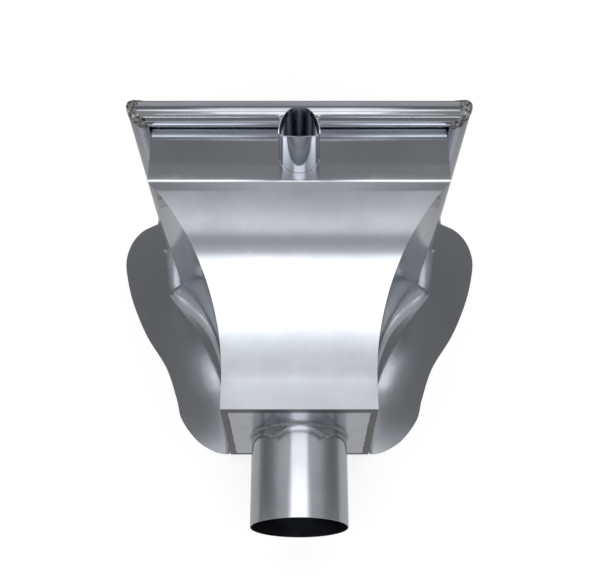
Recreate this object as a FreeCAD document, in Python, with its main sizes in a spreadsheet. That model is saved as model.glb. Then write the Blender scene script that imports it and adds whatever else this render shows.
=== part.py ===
"""Downpipe hopper head in soldered titanium-zinc sheet.

Frame: the wall is the plane y = 0 and the head stands out of it along -Y, +Z is up, x = 0 is the
middle, and z = 0 is the underside of the bottom plate. All sizes are millimetres.
"""
import FreeCAD, Part
import math
import os

from FreeCAD import Placement, Rotation, Vector

# Driving dimensions: alias, value, what it is
SIZES = [
    ("gauge", 0.8, "thickness of the zinc sheet"),
    ("foot_half", 76.5, "half width of the foot, outside"),
    ("foot_depth", 157.5, "wall to the front of the foot, outside"),
    ("foot_height", 30.0, "height of the straight foot below the flare"),
    ("rim_half", 146.5, "half width of the rim box, outside"),
    ("rim_depth", 250.0, "wall to the front of the rim box, outside"),
    ("fold_height", 201.0, "height of the fold between flare and rim box"),
    ("flare_turn", 71.8, "degrees of a quarter ellipse that the flare takes up"),
    ("bead_height", 270.0, "height of the rolled bead's middle"),
    ("bead_radius", 12.75, "outer radius of the rolled bead"),
    ("bead_squash", 0.89, "width of the side beads as a share of their height"),
    ("bead_gap", 2.5, "gap between the roll's free edge and the rim box"),
    ("back_top", 311.0, "top of the back plate"),
    ("back_top_half", 176.0, "half width of the back plate above the wings"),
    ("wing_top", 293.5, "top of the flat wing"),
    ("cove_top", 252.0, "top of the cove, just under the bead"),
    ("cove_foot", 5.0, "radius of the cove at the foot"),
    ("cove_belly", 30.0, "radius of the cove at its widest"),
    ("cove_belly_height", 120.0, "height of the widest place"),
    ("cove_neck", 13.0, "radius of the cove from the fold upward"),
    ("cove_lap", 6.0, "lap of the cove along the side panel"),
    ("outlet_radius", 50.0, "outer radius of the outlet spigot"),
    ("outlet_length", 94.0, "spigot below the bottom plate"),
    ("outlet_from_wall", 63.2, "wall to the spigot's axis"),
    ("flange_reach", 5.0, "reach of the spigot's flange beyond its outer wall"),
    ("flange_bend", 2.5, "radius of the bend into the flange, on the bore side"),
    ("spout_radius", 20.5, "outer radius of the overflow spout"),
    ("spout_height", 229.5, "height of the spout's axis"),
    ("spout_cheek", 39.0, "rim box to the mouth at the spout's sides"),
    ("spout_upper_lip", 55.0, "rim box to the spout's upper lip"),
    ("spout_lower_lip", 62.0, "rim box to the spout's lower lip"),
    ("seam_width", 7.0, "width of the solder seam round the bottom plate"),
    ("seam_thickness", 0.5, "thickness of that seam"),
    ("ring_reach", 2.2, "reach of the solder rings round the pipes"),
    ("patch_thickness", 0.6, "thickness of the solder on the bead's mitres"),
    ("patch_half", 5.0, "half width of that solder across the mitre"),
]

# Cutting solids run this far past the faces that they cut
OVERRUN = 10.0

# The wing's outer edge, from its top to the foot: x, z
WING_EDGE = [(176.0, 293.5), (194.0, 283.0), (206.0, 266.0), (211.2, 243.0), (208.0, 218.0),
             (198.0, 183.5), (179.5, 142.5), (154.0, 102.0), (140.0, 64.0), (133.0, 40.0),
             (115.0, 16.0), (96.0, 3.5), (84.0, 0.0)]

doc = FreeCAD.newDocument("hopper_head")
sheet = doc.addObject("Spreadsheet::Sheet", "sizes")
for row, (alias, value, note) in enumerate(SIZES, start=1):
    sheet.set("A%d" % row, alias)
    sheet.set("B%d" % row, str(value))
    sheet.set("C%d" % row, note)
    sheet.setAlias("B%d" % row, alias)
doc.recompute()


def size(alias):
    """The value of one driving dimension."""
    return float(sheet.get(alias))


gauge = size("gauge")
foot_height = size("foot_height")
fold_height = size("fold_height")
foot_half = size("foot_half")
foot_depth = size("foot_depth")
rim_half = size("rim_half")
rim_depth = size("rim_depth")
bead_height = size("bead_height")
bead_radius = size("bead_radius")
bead_squash = size("bead_squash")

# The flare is an arc of an ellipse that starts upright at the foot and ends at the fold
flare_turn = math.radians(size("flare_turn"))
flare_rise = (fold_height - foot_height) / math.sin(flare_turn)
flare_share = 1.0 - math.cos(flare_turn)
front_axis = (rim_depth - foot_depth) / flare_share
side_axis = (rim_half - foot_half) / flare_share


def bind(item, **expressions):
    """Tie properties of a document object to the sheet."""
    for name, expression in expressions.items():
        item.setExpression(name.replace("__", "."), expression)
    return item


def side_at(z):
    """Outer half width of the side panel at a height."""
    if z <= foot_height:
        return foot_half
    if z >= fold_height:
        return rim_half
    sine = (z - foot_height) / flare_rise
    return foot_half + side_axis * (1.0 - math.sqrt(1.0 - sine ** 2))


def flare_edge(foot, axis, wall, inset):
    """Edge of the flare in the plane of the profile: u outward, z up, moved in by inset."""
    centre = Vector(foot + axis, foot_height, 0)
    wide = axis + inset
    tall = flare_rise + inset
    end_cosine = (foot + axis - wall + inset) / wide
    end = Vector(wall - inset, foot_height + tall * math.sqrt(1.0 - end_cosine ** 2), 0)
    start = Vector(centre.x - wide, centre.y, 0)
    top = Vector(centre.x, centre.y + tall, 0)
    ends = (top, start) if tall > wide else (start, top)
    ellipse = Part.Ellipse(ends[0], ends[1], centre)
    one = ellipse.parameter(start)
    two = ellipse.parameter(end)
    arc = Part.ArcOfEllipse(ellipse, min(one, two), max(one, two))
    return arc, start, end


def line(one, two):
    """Straight profile edge."""
    return Part.LineSegment(one, two)


def circle_arc(middle, radius, start, end):
    """Arc edge of a profile between two angles."""
    return Part.ArcOfCircle(Part.Circle(middle, Vector(0, 0, 1), radius), start, end)


def ellipse_arc(middle, wide, tall, start, end):
    """Arc edge of an ellipse whose axes lie along u and z, between two parameter angles."""
    if abs(wide - tall) < 1e-9:
        return circle_arc(middle, tall, start, end)
    # The major axis comes first: along u, or along z, which is a quarter turn on
    if wide > tall:
        return Part.ArcOfEllipse(
            Part.Ellipse(middle + Vector(wide, 0, 0), middle + Vector(0, tall, 0), middle), start, end)
    turn = math.pi / 2
    return Part.ArcOfEllipse(
        Part.Ellipse(middle + Vector(0, tall, 0), middle - Vector(wide, 0, 0), middle),
        start - turn, end - turn)


def sheet_profile(foot, axis, wall, squash):
    """Closed profile of a panel: foot, flare, rim box wall and the bead rolled outward."""
    outer_arc, outer_start, outer_fold = flare_edge(foot, axis, wall, 0.0)
    inner_arc, inner_start, inner_fold = flare_edge(foot, axis, wall, gauge)
    wide = bead_radius * squash
    middle = Vector(wall - gauge + wide, bead_height, 0)
    free_edge = math.acos((wide - gauge - size("bead_gap")) / wide) - math.pi
    # The roll runs from its free edge under the bead, round the front and over the top to the wall
    roll_out = ellipse_arc(middle, wide, bead_radius, free_edge, math.pi)
    roll_in = ellipse_arc(middle, wide - gauge, bead_radius - gauge, free_edge, math.pi)
    return [
        line(Vector(foot, 0, 0), outer_start),
        outer_arc,
        line(outer_fold, Vector(wall, bead_height, 0)),
        roll_in,
        line(roll_in.StartPoint, roll_out.StartPoint),
        roll_out,
        line(Vector(wall - gauge, bead_height, 0), inner_fold),
        inner_arc,
        line(inner_start, Vector(foot - gauge, 0, 0)),
        line(Vector(foot - gauge, 0, 0), Vector(foot, 0, 0)),
    ]


def outline_sketch(name, edges, placement):
    """Sketch that holds a closed outline."""
    sketch = doc.addObject("Sketcher::SketchObject", name)
    sketch.addGeometry(edges, False)
    sketch.Placement = placement
    return sketch


def extrusion(name, base, direction, **expressions):
    """Solid made from a closed sketch."""
    solid = doc.addObject("Part::Extrusion", name)
    solid.Base = base
    solid.DirMode = "Custom"
    solid.Dir = direction
    solid.Solid = True
    return bind(solid, **expressions)


def boolean(kind, name, first, *others):
    """Cut, fuse or common of document objects."""
    result = doc.addObject("Part::" + kind, name)
    if kind == "Cut":
        result.Base = first
        result.Tool = others[0]
    else:
        result.Shapes = [first] + list(others)
    result.Label = name
    return result


# Planes of the profiles: u outward and z up, seen along X for the front and along Y for the sides
UP = Vector(0, 0, 1)
FRONT_PLANE = Placement(Vector(0, 0, 0), Rotation(Vector(0, -1, 0), UP, Vector(-1, 0, 0), "ZXY"))
SIDE_PLANE = Placement(Vector(0, 0, 0), Rotation(Vector(1, 0, 0), UP, Vector(0, -1, 0), "ZXY"))


# Wedges that part the front panel from the side panels: one plan below the fold, one above it
flare_slope = (rim_half - foot_half) / (rim_depth - foot_depth)
mitre_far = rim_depth + 4 * bead_radius
mitre_near = foot_depth - bead_radius


def mitre_wedge(name, slope, inset, low, high):
    """Prism between the two mitre planes, which pass the rim box's corners at an inset."""
    corner_half = rim_half - inset
    corner_depth = rim_depth - inset
    far_half = corner_half + (mitre_far - corner_depth) * slope
    near_half = corner_half - (corner_depth - mitre_near) * slope
    wedge = doc.addObject("Part::Wedge", name)
    wedge.Ymin, wedge.Ymax = -mitre_far, -mitre_near
    wedge.Xmin, wedge.Xmax = -far_half, far_half
    wedge.X2min, wedge.X2max = -near_half, near_half
    return bind(wedge, Zmin=low, Zmax=high, Z2min=low, Z2max=high)


wedge_low = mitre_wedge("mitre_below_fold", flare_slope, 0.0, "-sizes.seam_width", "sizes.fold_height")
wedge_high = mitre_wedge("mitre_above_fold", bead_squash, gauge, "sizes.fold_height", "sizes.back_top")
mitres = boolean("MultiFuse", "mitres", wedge_low, wedge_high)

# Front panel: one sheet with its flare, fold, rim box wall and bead
front_profile = sheet_profile(foot_depth, front_axis, rim_depth, 1.0)
front_sketch = outline_sketch("front_profile", front_profile, FRONT_PLANE)
front_sweep = extrusion("front_sweep", front_sketch, Vector(1, 0, 0),
                        LengthFwd="2 * sizes.rim_half + 8 * sizes.bead_radius")
front_sweep.Symmetric = True
front_panel_plain = boolean("MultiCommon", "front_panel_plain", front_sweep, mitres)

# Overflow spout: a tube through the front panel, its end cut to a beak
FORWARD = Rotation(Vector(1, 0, 0), 90)


def cylinder(name, **expressions):
    """Cylinder whose sizes and place come from the sheet."""
    return bind(doc.addObject("Part::Cylinder", name), **expressions)


def spout_cylinder(name, radius, start, length):
    """Cylinder along the spout's axis, which points forward from the rim box."""
    rod = cylinder(name, Radius=radius, Height=length)
    rod.Placement = Placement(Vector(0, 0, 0), FORWARD)
    return bind(rod, Placement__Base__y="-(%s)" % start, Placement__Base__z="sizes.spout_height")


spout_body = spout_cylinder("spout_body", "sizes.spout_radius", "sizes.rim_depth - sizes.gauge",
                            "sizes.spout_lower_lip + sizes.gauge")
spout_bore = spout_cylinder("spout_bore", "sizes.spout_radius - sizes.gauge",
                            "sizes.rim_depth - %f" % OVERRUN, "2 * sizes.spout_lower_lip + %f" % OVERRUN)
spout_radius = size("spout_radius")
cheek = Vector(rim_depth + size("spout_cheek"), size("spout_height"), 0)
upper_lip = Vector(rim_depth + size("spout_upper_lip") - cheek.x, spout_radius, 0)
lower_lip = Vector(rim_depth + size("spout_lower_lip") - cheek.x, -spout_radius, 0)
mouth_top = cheek + upper_lip * 2.0
mouth_foot = cheek + lower_lip * 2.0
mouth_sketch = outline_sketch(
    "spout_mouth",
    [line(cheek, mouth_top), line(mouth_top, mouth_foot), line(mouth_foot, cheek)],
    FRONT_PLANE,
)
spout_mouth = extrusion("spout_mouth_cut", mouth_sketch, Vector(1, 0, 0),
                        LengthFwd="4 * sizes.spout_radius")
spout_mouth.Symmetric = True
spout_waste = boolean("MultiFuse", "spout_waste", spout_bore, spout_mouth)
overflow_spout = boolean("Cut", "overflow_spout", spout_body, spout_waste)
spout_hole = spout_cylinder("spout_hole", "sizes.spout_radius",
                            "sizes.rim_depth - %f" % OVERRUN, "%f" % (2 * OVERRUN))
front_panel = boolean("Cut", "front_panel", front_panel_plain, spout_hole)


def solder_ring(name, radius, height, place, rotation):
    """Cone of solder round an edge or a pipe that stands on a sheet."""
    cone = doc.addObject("Part::Cone", name + "_cone")
    bind(cone, Radius1=radius + " + sizes.ring_reach", Radius2=radius + " + 0.1 * sizes.ring_reach",
         Height=height)
    hole = cylinder(name + "_hole", Radius=radius, Height="2 * (%s)" % height)
    for item in (cone, hole):
        item.Placement = Placement(Vector(0, 0, 0), rotation)
        bind(item, **place)
    return boolean("Cut", name, cone, hole)


spout_solder = solder_ring(
    "spout_solder", "sizes.spout_radius", "sizes.ring_reach",
    {"Placement__Base__y": "-sizes.rim_depth", "Placement__Base__z": "sizes.spout_height"}, FORWARD,
)

# Side panels: the same kind of sheet, cut off at the mitres and at the back plate
side_profile = sheet_profile(foot_half, side_axis, rim_half, bead_squash)
side_sketch = outline_sketch("side_profile", side_profile, SIDE_PLANE)
side_sweep = extrusion("side_sweep", side_sketch, Vector(0, -1, 0),
                       LengthFwd="sizes.rim_depth + 3 * sizes.bead_radius")
bind(side_sweep, Placement__Base__y="-sizes.gauge")
right_side_panel = boolean("Cut", "right_side_panel", side_sweep, mitres)


def mirrored(name, source):
    """The same piece on the other side of the middle plane."""
    copy = doc.addObject("Part::Mirroring", name)
    copy.Source = source
    copy.Normal = Vector(1, 0, 0)
    copy.Base = Vector(0, 0, 0)
    copy.Label = name
    return copy


left_side_panel = mirrored("left_side_panel", right_side_panel)

# Body outline seen from the front: it closes the back and seats the wings on the side panels
flare_right, flare_start, flare_end = flare_edge(foot_half, side_axis, rim_half, 0.0)
wing_top = size("wing_top")
half_outline = [
    line(Vector(0, 0, 0), Vector(foot_half, 0, 0)),
    line(Vector(foot_half, 0, 0), flare_start),
    flare_right,
    line(flare_end, Vector(rim_half, wing_top, 0)),
    line(Vector(rim_half, wing_top, 0), Vector(0, wing_top, 0)),
    line(Vector(0, wing_top, 0), Vector(0, 0, 0)),
]
half_sketch = outline_sketch("body_outline", half_outline, SIDE_PLANE)
body_half = extrusion("body_half", half_sketch, Vector(0, -1, 0), LengthFwd="sizes.rim_depth")
back_half = extrusion("back_half", half_sketch, Vector(0, -1, 0), LengthFwd="sizes.gauge")
back_other = mirrored("back_other", back_half)
back_head = bind(
    doc.addObject("Part::Box", "back_head"), Length="2 * sizes.back_top_half", Width="sizes.gauge",
    Height="sizes.back_top - sizes.wing_top", Placement__Base__x="-sizes.back_top_half",
    Placement__Base__y="-sizes.gauge", Placement__Base__z="sizes.wing_top",
)
back_joined = boolean("MultiFuse", "back_joined", back_half, back_other, back_head)
back_plate = doc.addObject("Part::Refine", "back_plate")
back_plate.Source = back_joined
back_plate.Label = "back_plate"

# Bottom plate: it sits inside the four walls, flush with their lower edges
plate = bind(
    doc.addObject("Part::Box", "plate"), Length="2 * (sizes.foot_half - sizes.gauge)",
    Width="sizes.foot_depth - 2 * sizes.gauge", Height="sizes.gauge",
    Placement__Base__x="-(sizes.foot_half - sizes.gauge)",
    Placement__Base__y="-(sizes.foot_depth - sizes.gauge)",
)
outlet_axis = {"Placement__Base__y": "-sizes.outlet_from_wall"}
plate_hole = cylinder("plate_hole", Radius="sizes.outlet_radius - sizes.gauge + sizes.flange_bend",
                      Height="4 * sizes.gauge", Placement__Base__z="-sizes.gauge", **outlet_axis)
bottom_plate = boolean("Cut", "bottom_plate", plate, plate_hole)

# Outlet spigot: a tube whose upper end is turned out to a flange, soldered under the bottom plate
outlet_radius = size("outlet_radius")
outlet_foot = -size("outlet_length")
flange_bend = size("flange_bend")
flange_start = outlet_radius - gauge + flange_bend
flange_edge = outlet_radius + size("flange_reach")
bend_middle = Vector(flange_start, -flange_bend, 0)
bend_bore = circle_arc(bend_middle, flange_bend, math.pi / 2, math.pi)
bend_wall = circle_arc(bend_middle, flange_bend - gauge, math.pi / 2, math.pi)
spigot_profile = outline_sketch("spigot_profile", [
    bend_bore,
    line(Vector(flange_start, 0, 0), Vector(flange_edge, 0, 0)),
    line(Vector(flange_edge, 0, 0), Vector(flange_edge, -gauge, 0)),
    line(Vector(flange_edge, -gauge, 0), Vector(flange_start, -gauge, 0)),
    bend_wall,
    line(Vector(outlet_radius, -flange_bend, 0), Vector(outlet_radius, outlet_foot, 0)),
    line(Vector(outlet_radius, outlet_foot, 0), Vector(outlet_radius - gauge, outlet_foot, 0)),
    line(Vector(outlet_radius - gauge, outlet_foot, 0), Vector(outlet_radius - gauge, -flange_bend, 0)),
], SIDE_PLANE)
outlet_spigot = doc.addObject("Part::Revolution", "outlet_spigot")
outlet_spigot.Source = spigot_profile
outlet_spigot.Axis = UP
outlet_spigot.Base = Vector(0, 0, 0)
outlet_spigot.Angle = 360.0
outlet_spigot.Solid = True
outlet_spigot.Label = "outlet_spigot"
bind(outlet_spigot, **outlet_axis)
spigot_solder = solder_ring("spigot_solder", "(sizes.outlet_radius + sizes.flange_reach)", "sizes.gauge",
                            outlet_axis, Rotation(Vector(1, 0, 0), 180))

# Solder seam round the bottom plate, over its edges and those of the walls
seam_outer = bind(
    doc.addObject("Part::Box", "seam_outer"), Length="2 * sizes.foot_half", Width="sizes.foot_depth",
    Height="sizes.seam_thickness", Placement__Base__x="-sizes.foot_half",
    Placement__Base__y="-sizes.foot_depth", Placement__Base__z="-sizes.seam_thickness",
)
seam_inner = bind(
    doc.addObject("Part::Box", "seam_inner"), Length="2 * (sizes.foot_half - sizes.seam_width)",
    Width="sizes.foot_depth - 1.6 * sizes.seam_width", Height="3 * sizes.seam_thickness",
    Placement__Base__x="-(sizes.foot_half - sizes.seam_width)",
    Placement__Base__y="-(sizes.foot_depth - sizes.seam_width)",
    Placement__Base__z="-2 * sizes.seam_thickness",
)
floor_solder = boolean("Cut", "floor_solder", seam_outer, seam_inner)

# Wings: a flat ear on the wall whose inner edge is pressed into a cove that laps the side panel.
# The raw lap goes SEAT into the side panel's outline, which then trims it to its seat.
SEAT = 0.3
COVE_STEPS = 8
WING_REACH = max(x for x, z in WING_EDGE) + 5 * OVERRUN
cove_top = size("cove_top")


def cove_radius(z):
    """Radius of the cove at a height: small at the foot, widest in the belly, narrow at the neck."""
    belly = size("cove_belly")
    belly_height = size("cove_belly_height")
    if z <= belly_height:
        foot = size("cove_foot")
        return foot + (belly - foot) * math.sin(math.pi / 2 * z / belly_height)
    neck = size("cove_neck")
    share = min(1.0, (z - belly_height) / (fold_height - belly_height))
    return neck + (belly - neck) * math.cos(math.pi / 2 * share) ** 2


def cove_section(z):
    """Section of the wing's sheet at one height: lap, quarter round and flat."""
    side = side_at(z) - SEAT
    radius = cove_radius(z)
    outer = radius + gauge
    turn = side + outer
    lap = outer + size("cove_lap")
    bend = math.sqrt(0.5)
    back_mid = Vector(turn - outer * bend, -outer + outer * bend, z)
    face_mid = Vector(turn - radius * bend, -outer + radius * bend, z)
    return Part.Wire([
        Part.makeLine(Vector(side, -lap, z), Vector(side, -outer, z)),
        Part.Arc(Vector(side, -outer, z), back_mid, Vector(turn, 0, z)).toShape(),
        Part.makeLine(Vector(turn, 0, z), Vector(WING_REACH, 0, z)),
        Part.makeLine(Vector(WING_REACH, 0, z), Vector(WING_REACH, -gauge, z)),
        Part.makeLine(Vector(WING_REACH, -gauge, z), Vector(turn, -gauge, z)),
        Part.Arc(Vector(turn, -gauge, z), face_mid, Vector(side + gauge, -outer, z)).toShape(),
        Part.makeLine(Vector(side + gauge, -outer, z), Vector(side + gauge, -lap, z)),
        Part.makeLine(Vector(side + gauge, -lap, z), Vector(side, -lap, z)),
    ])


def seam_section(z):
    """Section of the solder along the front edge of the lap."""
    side = side_at(z) - SEAT
    edge = -(cove_radius(z) + gauge + size("cove_lap"))
    reach = size("ring_reach")
    corners = [Vector(side, edge, z), Vector(side + gauge, edge, z), Vector(side, edge - reach, z)]
    return Part.makePolygon(corners + [corners[0]])


def up_the_wing(section):
    """Loft of a section up the flare, with a straight length above the fold."""
    flare = [section(fold_height * step / COVE_STEPS) for step in range(COVE_STEPS + 1)]
    neck = [section(fold_height), section(cove_top)]
    return Part.makeLoft(flare, True, False).fuse(Part.makeLoft(neck, True, True))


def feature(name, shape):
    """Document object that holds a finished shape."""
    item = doc.addObject("Part::Feature", name)
    item.Shape = shape
    item.Label = name
    return item


wing_curve = Part.BSplineCurve()
wing_curve.interpolate([Vector(x, 0, z) for x, z in WING_EDGE])
wing_tip = Vector(WING_EDGE[0][0], 0, wing_top)
wing_heel = Vector(WING_EDGE[-1][0], 0, WING_EDGE[-1][1])
wing_root = foot_half - OVERRUN / 2
wing_border = Part.Wire([
    wing_curve.toShape(),
    Part.makeLine(wing_heel, Vector(wing_root, 0, 0)),
    Part.makeLine(Vector(wing_root, 0, 0), Vector(wing_root, 0, wing_top)),
    Part.makeLine(Vector(wing_root, 0, wing_top), wing_tip),
])
wing_prism = Part.Face(wing_border).extrude(Vector(0, -2 * (size("cove_belly") + size("cove_lap")), 0))
band_corner = Vector(rim_half, -gauge, cove_top)
flat_band = Part.makeBox(WING_REACH - rim_half, gauge, wing_top - cove_top, band_corner)
wing_pressed = feature("wing_pressed", up_the_wing(cove_section).fuse(flat_band).common(wing_prism))
right_wing = boolean("Cut", "right_wing", wing_pressed, body_half)
left_wing = mirrored("left_wing", right_wing)
seam_raw = feature("seam_raw", up_the_wing(seam_section))
right_wing_solder = boolean("Cut", "right_wing_solder", seam_raw, body_half)
left_wing_solder = mirrored("left_wing_solder", right_wing_solder)

# Solder on the bead's mitres: a skin over the roll, a little way to both sides of the mitre plane
patch_thickness = size("patch_thickness")
patch_half = size("patch_half")
PATCH_START = math.radians(-120.0)
PATCH_END = math.radians(150.0)


def skin_loop():
    """Section of the skin over the front bead: u outward along X, z up."""
    middle = Vector(rim_depth - gauge + bead_radius, 0, bead_height)
    arcs = []
    for radius in (bead_radius, bead_radius + patch_thickness):
        points = [
            middle + Vector(radius * math.cos(angle), 0, radius * math.sin(angle))
            for angle in (PATCH_START, (PATCH_START + PATCH_END) / 2, PATCH_END)
        ]
        arcs.append(Part.Arc(*points))
    inner, outer = arcs
    return Part.Wire([
        inner.toShape(), Part.makeLine(inner.EndPoint, outer.EndPoint),
        outer.toShape(), Part.makeLine(outer.StartPoint, inner.StartPoint),
    ])


def sheared(loop, beside, before):
    """The loop laid on the mitre plane, then moved along the front bead or along the side bead."""
    shear = FreeCAD.Matrix(
        bead_squash, 0, 0, rim_half - gauge - (rim_depth - gauge) * bead_squash - beside,
        -1, 0, 0, before,
        0, 0, 1, 0,
        0, 0, 0, 1)
    return loop.transformGeometry(shear)


skin = skin_loop()
skin_sections = [
    sheared(skin, patch_half / bead_squash, 0.0), sheared(skin, 0.0, 0.0), sheared(skin, 0.0, patch_half)]
right_corner_solder = feature("right_corner_solder", Part.makeLoft(skin_sections, True, True))
left_corner_solder = mirrored("left_corner_solder", right_corner_solder)

PIECES = [
    front_panel, left_side_panel, right_side_panel, back_plate, bottom_plate, outlet_spigot,
    overflow_spout, left_wing, right_wing, floor_solder, spigot_solder, spout_solder,
    left_corner_solder, right_corner_solder, left_wing_solder, right_wing_solder,
]

doc.recompute()
for item in doc.Objects:
    if "Invalid" in item.State or "Error" in item.State:
        raise RuntimeError("%s failed: %s" % (item.Name, item.State))
for piece in PIECES:
    if piece.Shape.isNull() or not piece.Shape.isValid() or len(piece.Shape.Solids) != 1:
        raise RuntimeError("%s is not one sound solid" % piece.Label)

os.makedirs("parts", exist_ok=True)
for piece in PIECES:
    piece.Shape.exportStep("parts/%s.step" % piece.Label)
    print("%-20s %9.1f mm3" % (piece.Label, piece.Shape.Volume))
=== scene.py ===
import math
import random

import bmesh
import bpy
from bpy.props import FloatProperty, FloatVectorProperty, PointerProperty
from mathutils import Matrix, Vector


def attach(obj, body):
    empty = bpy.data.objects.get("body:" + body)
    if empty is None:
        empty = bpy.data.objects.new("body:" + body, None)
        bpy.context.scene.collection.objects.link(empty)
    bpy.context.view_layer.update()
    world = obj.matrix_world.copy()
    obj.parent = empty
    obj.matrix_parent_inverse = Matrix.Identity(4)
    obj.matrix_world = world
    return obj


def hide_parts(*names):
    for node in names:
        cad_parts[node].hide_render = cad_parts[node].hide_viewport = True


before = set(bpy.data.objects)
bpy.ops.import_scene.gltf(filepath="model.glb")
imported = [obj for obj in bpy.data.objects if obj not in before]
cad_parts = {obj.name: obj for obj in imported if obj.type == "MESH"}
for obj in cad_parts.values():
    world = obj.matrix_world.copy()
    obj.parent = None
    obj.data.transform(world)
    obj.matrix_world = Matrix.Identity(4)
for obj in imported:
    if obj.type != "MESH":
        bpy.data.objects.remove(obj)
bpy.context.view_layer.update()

BODY = "root"
SHEET_SLOT = "zinc_sheet"
SOLDER_SLOT = "solder"

bl_info = {
    "name": "Hopper Head Finish",
    "version": (1, 0, 0),
    "blender": (4, 5, 0),
    "location": "View3D > Sidebar > Hopper Head",
    "description": "Formed sheets, solder and finish for a soldered rainwater hopper head",
    "category": "Object",
}


def length(name, default, description):
    """A size in metres that a user may change."""
    return FloatProperty(name=name, default=default, description=description, unit="LENGTH", precision=5)


def tilt(name, degrees, description):
    """An angle that a user may change."""
    return FloatProperty(name=name, default=math.radians(degrees), description=description, subtype="ANGLE")


def colour(name, default, description):
    """A colour that a user may change."""
    return FloatVectorProperty(
        name=name, default=default, description=description, subtype="COLOR", size=3, min=0.0, max=1.0
    )


class HopperBodySizes(bpy.types.PropertyGroup):
    gauge: length("Gauge", 0.0008, "Thickness of the zinc sheet")
    foot_half: length("Foot half width", 0.0765, "Half width of the foot, outside")
    foot_depth: length("Foot depth", 0.1575, "Wall to the front of the foot")
    foot_height: length("Foot height", 0.030, "Height of the straight foot")
    rim_half: length("Rim half width", 0.1465, "Half width of the rim box")
    rim_depth: length("Rim depth", 0.250, "Wall to the front of the rim box")
    fold_height: length("Fold height", 0.1996, "Height of the fold under the rim box")
    flare_turn: tilt("Flare turn", 71.8, "Part of a quarter ellipse that the flare takes up")
    draw_in: length("Draw in", 0.008, "How far the wings' seams draw the side panels in at the wall")
    fold_round: length("Fold round", 0.0007, "Radius pressed into the fold")
    bead_height: length("Bead height", 0.270, "Height of the rolled bead's middle")
    bead_radius: length("Bead radius", 0.01275, "Outer radius of the rolled bead")
    bead_squash: FloatProperty(
        name="Bead squash", default=0.89, min=0.5, max=1.0,
        description="Width of the side beads as a share of their height",
    )
    bead_gap: length("Bead gap", 0.0025, "Gap between the roll's free edge and the rim box")


class HopperWingSizes(bpy.types.PropertyGroup):
    cove_top: length("Cove top", 0.2565, "Top of the cove under the bead")
    cove_lap: length("Cove lap", 0.006, "Lap of the cove along the side panel")


class HopperPipeSizes(bpy.types.PropertyGroup):
    outlet_radius: length("Outlet radius", 0.050, "Outer radius of the outlet spigot")
    outlet_length: length("Outlet length", 0.094, "Spigot below the bottom plate")
    outlet_from_wall: length("Outlet from wall", 0.0632, "Wall to the spigot's axis")
    flange_reach: length("Flange reach", 0.0014, "Reach of the spigot's flange beyond its outer wall")
    flange_bend: length("Flange bend", 0.0018, "Radius of the bend into the flange, on the bore side")
    spout_radius: length("Spout radius", 0.0199, "Outer radius of the overflow spout")
    spout_height: length("Spout height", 0.2287, "Height of the spout's axis")
    spout_cheek: length("Spout cheek", 0.038, "Rim box to the mouth at the sides")
    spout_upper_lip: length("Upper lip", 0.054, "Rim box to the upper lip")
    spout_lower_lip: length("Lower lip", 0.061, "Rim box to the lower lip")
    ring_reach: length("Ring reach", 0.0009, "Reach of the solder rings round the pipes")
    seam_width: length("Seam width", 0.007, "Width of the solder seam round the bottom plate")
    patch_reach: length("Patch reach", 0.008, "Reach of the solder along the bead from its mitre")


class HopperFinish(bpy.types.PropertyGroup):
    zinc: colour("Zinc", (0.552, 0.575, 0.622), "Colour of the bright mill finish sheet")
    zinc_dull: colour("Dull zinc", (0.461, 0.48, 0.519), "Colour where the sheet has been handled")
    solder: colour("Solder", (0.13, 0.13, 0.132), "Colour of the dull solder round the bottom plate")
    lumps: colour("Lumpy solder", (0.12, 0.12, 0.122), "Colour of the lumpy solder over the bead's mitres")
    tin: colour("Tin", (0.28, 0.288, 0.305), "Colour of the thin solder round the pipes and along the coves")


class HopperStudio(bpy.types.PropertyGroup):
    lens: FloatProperty(name="Lens", default=57.0, description="Camera lens in millimetres on a 36 mm sensor")
    pitch: tilt("Pitch", 25.34, "How far the camera looks up along the head")
    distance: length("Camera distance", 1.0327, "Camera in front of the wall plane")
    drop: length("Camera drop", 0.2915, "Camera below the bottom plate")
    aside: length("Camera aside", 0.0007, "Camera to the right of the middle")


def settings():
    """The add-on's values, by group."""
    scene = bpy.context.scene
    return scene.hopper_body, scene.hopper_wing, scene.hopper_pipe, scene.hopper_finish, scene.hopper_studio


# Small tools for modelling


# Sign along X and name of each side
HANDS = ((-1, "left"), (1, "right"))


def clear_selection():
    """Deselect everything, so an operator acts only on what is picked next."""
    if bpy.context.object and bpy.context.object.mode != "OBJECT":
        bpy.ops.object.mode_set(mode="OBJECT")
    bpy.ops.object.select_all(action="DESELECT")


def activate(piece):
    """Make one object the only selected and the active one."""
    clear_selection()
    piece.select_set(True)
    bpy.context.view_layer.objects.active = piece


def add(operator, location=(0, 0, 0), **values):
    """Add a primitive with nothing else selected, and return it."""
    clear_selection()
    operator(location=location, **values)
    return bpy.context.object


def settle(piece):
    """Put the object's place into its mesh."""
    activate(piece)
    bpy.ops.object.transform_apply(location=True, rotation=True, scale=True)


def start_edit():
    """Open the active piece in edit mode with all of it selected."""
    bpy.ops.object.mode_set(mode="EDIT")
    bpy.ops.mesh.select_all(action="SELECT")


def end_edit():
    """Make all faces of the piece in edit mode agree, and leave edit mode."""
    bpy.ops.mesh.select_all(action="SELECT")
    bpy.ops.mesh.normals_make_consistent(inside=False)
    bpy.ops.object.mode_set(mode="OBJECT")


def extrude(offset):
    """Extrude what is selected and move the new end by an offset."""
    bpy.ops.mesh.extrude_region_move(TRANSFORM_OT_translate={"value": offset})


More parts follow.
